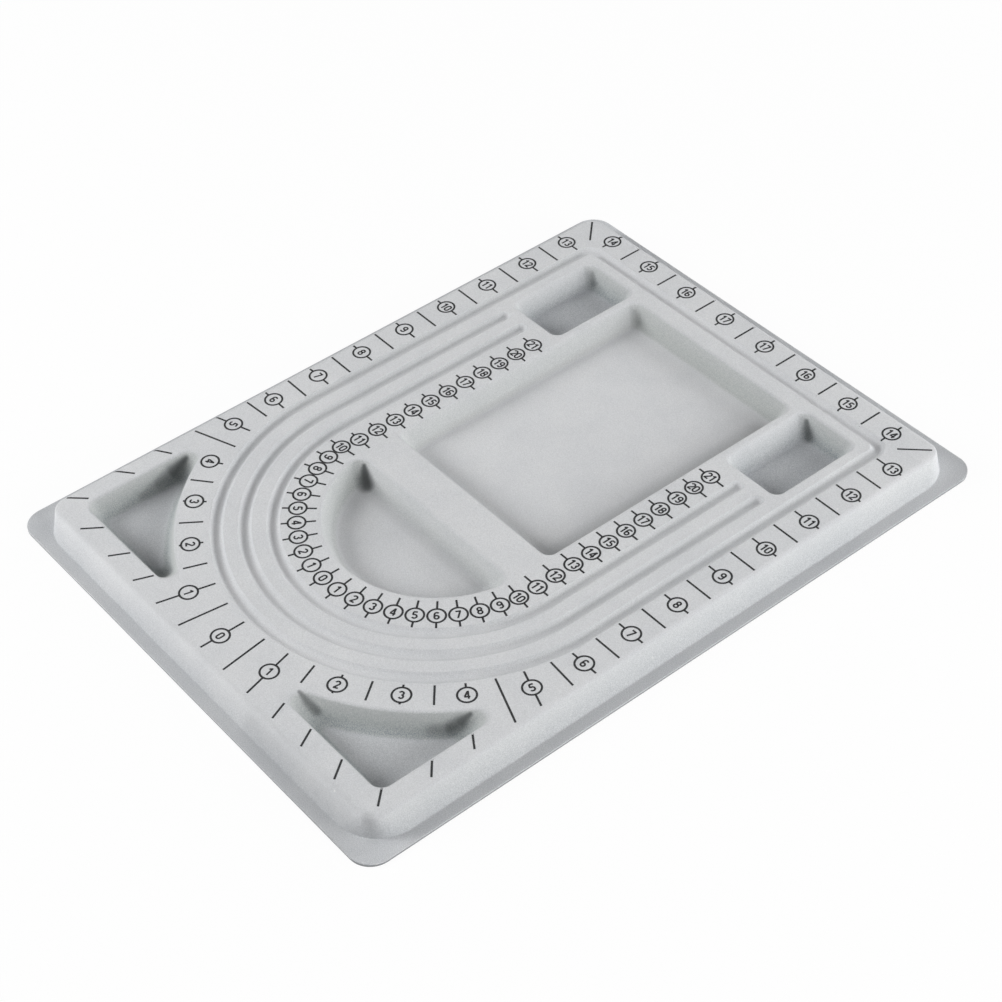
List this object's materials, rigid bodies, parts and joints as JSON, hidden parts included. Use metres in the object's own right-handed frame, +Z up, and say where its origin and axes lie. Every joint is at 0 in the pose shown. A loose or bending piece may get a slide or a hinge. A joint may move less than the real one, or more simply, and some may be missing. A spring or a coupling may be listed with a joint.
{
  "type": "bead board",
  "caption": "Flat rectangular bead-stringing board: thin formed plastic sheet with a flocked top, U-shaped bead channels, a main tray, a half-moon tray, corner pockets and bead boxes in a rim.",
  "frame": {"origin": "centre of the board's outline, on the face that it rests on", "axes": "+X across the board to the right, +Y along it towards the end with the two bead boxes, +Z up out of the trays"},
  "size_m": [0.26, 0.341, 0.012],
  "materials": {
    "sheet": "satin grey formed polystyrene",
    "flock": "short pale grey nylon flock"
  },
  "bodies": {
    "root": {"rim": "sheet", "scale_land": "sheet", "outer_ridge": "sheet", "inner_ridge": "sheet", "scale_deck": "sheet", "main_tray": "sheet", "half_moon_tray": "sheet", "bead_box_right": "sheet", "bead_box_left": "sheet", "corner_pocket_right": "sheet", "corner_pocket_left": "sheet", "flock_layer": "flock"}
  },
  "joints": []
}
